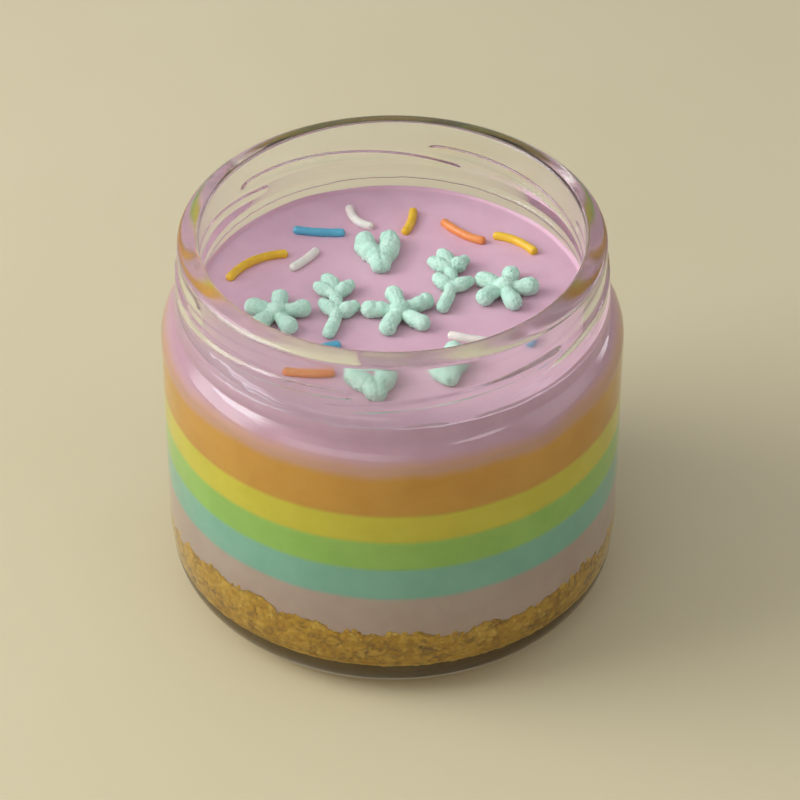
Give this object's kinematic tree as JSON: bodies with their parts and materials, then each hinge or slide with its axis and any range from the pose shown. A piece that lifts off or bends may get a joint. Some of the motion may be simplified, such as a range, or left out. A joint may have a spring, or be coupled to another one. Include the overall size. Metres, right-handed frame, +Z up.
{
  "type": "rainbow cheesecake",
  "caption": "Layered no-bake cheesecake in an open clear glass jar: crumb base, coloured cream layers, sugar strands and piped mint icing on top.",
  "frame": {"origin": "middle of the jar's underside, in the plane it stands on", "axes": "+Z up along the jar's axis; -Y is the side nearest the viewer; +X to the viewer's right"},
  "size_m": [0.0772, 0.0772, 0.0687],
  "materials": {
    "clear_glass": "clear, smooth moulded glass",
    "biscuit_crumb": "coarse golden biscuit crumb",
    "mauve_cream": "pale mauve set cream",
    "blue_cream": "pale blue set cream",
    "green_cream": "pale green set cream",
    "yellow_cream": "yellow set cream",
    "orange_cream": "orange set cream",
    "pink_cream": "pink set cream, smooth and slightly moist",
    "mint_icing": "matt piped mint-green icing"
  },
  "bodies": {
    "root": {"jar_glass": "clear_glass", "crumb_base": "biscuit_crumb", "layer_mauve": "mauve_cream", "layer_blue": "blue_cream", "layer_green": "green_cream", "layer_yellow": "yellow_cream", "layer_orange": "orange_cream", "layer_pink": "pink_cream", "icing_heart_top": "mint_icing", "icing_heart_left": "mint_icing", "icing_heart_right": "mint_icing", "icing_flower_left": "mint_icing", "icing_flower_middle": "mint_icing", "icing_flower_right": "mint_icing", "icing_sprig_left": "mint_icing", "icing_sprig_right": "mint_icing"}
  },
  "joints": []
}
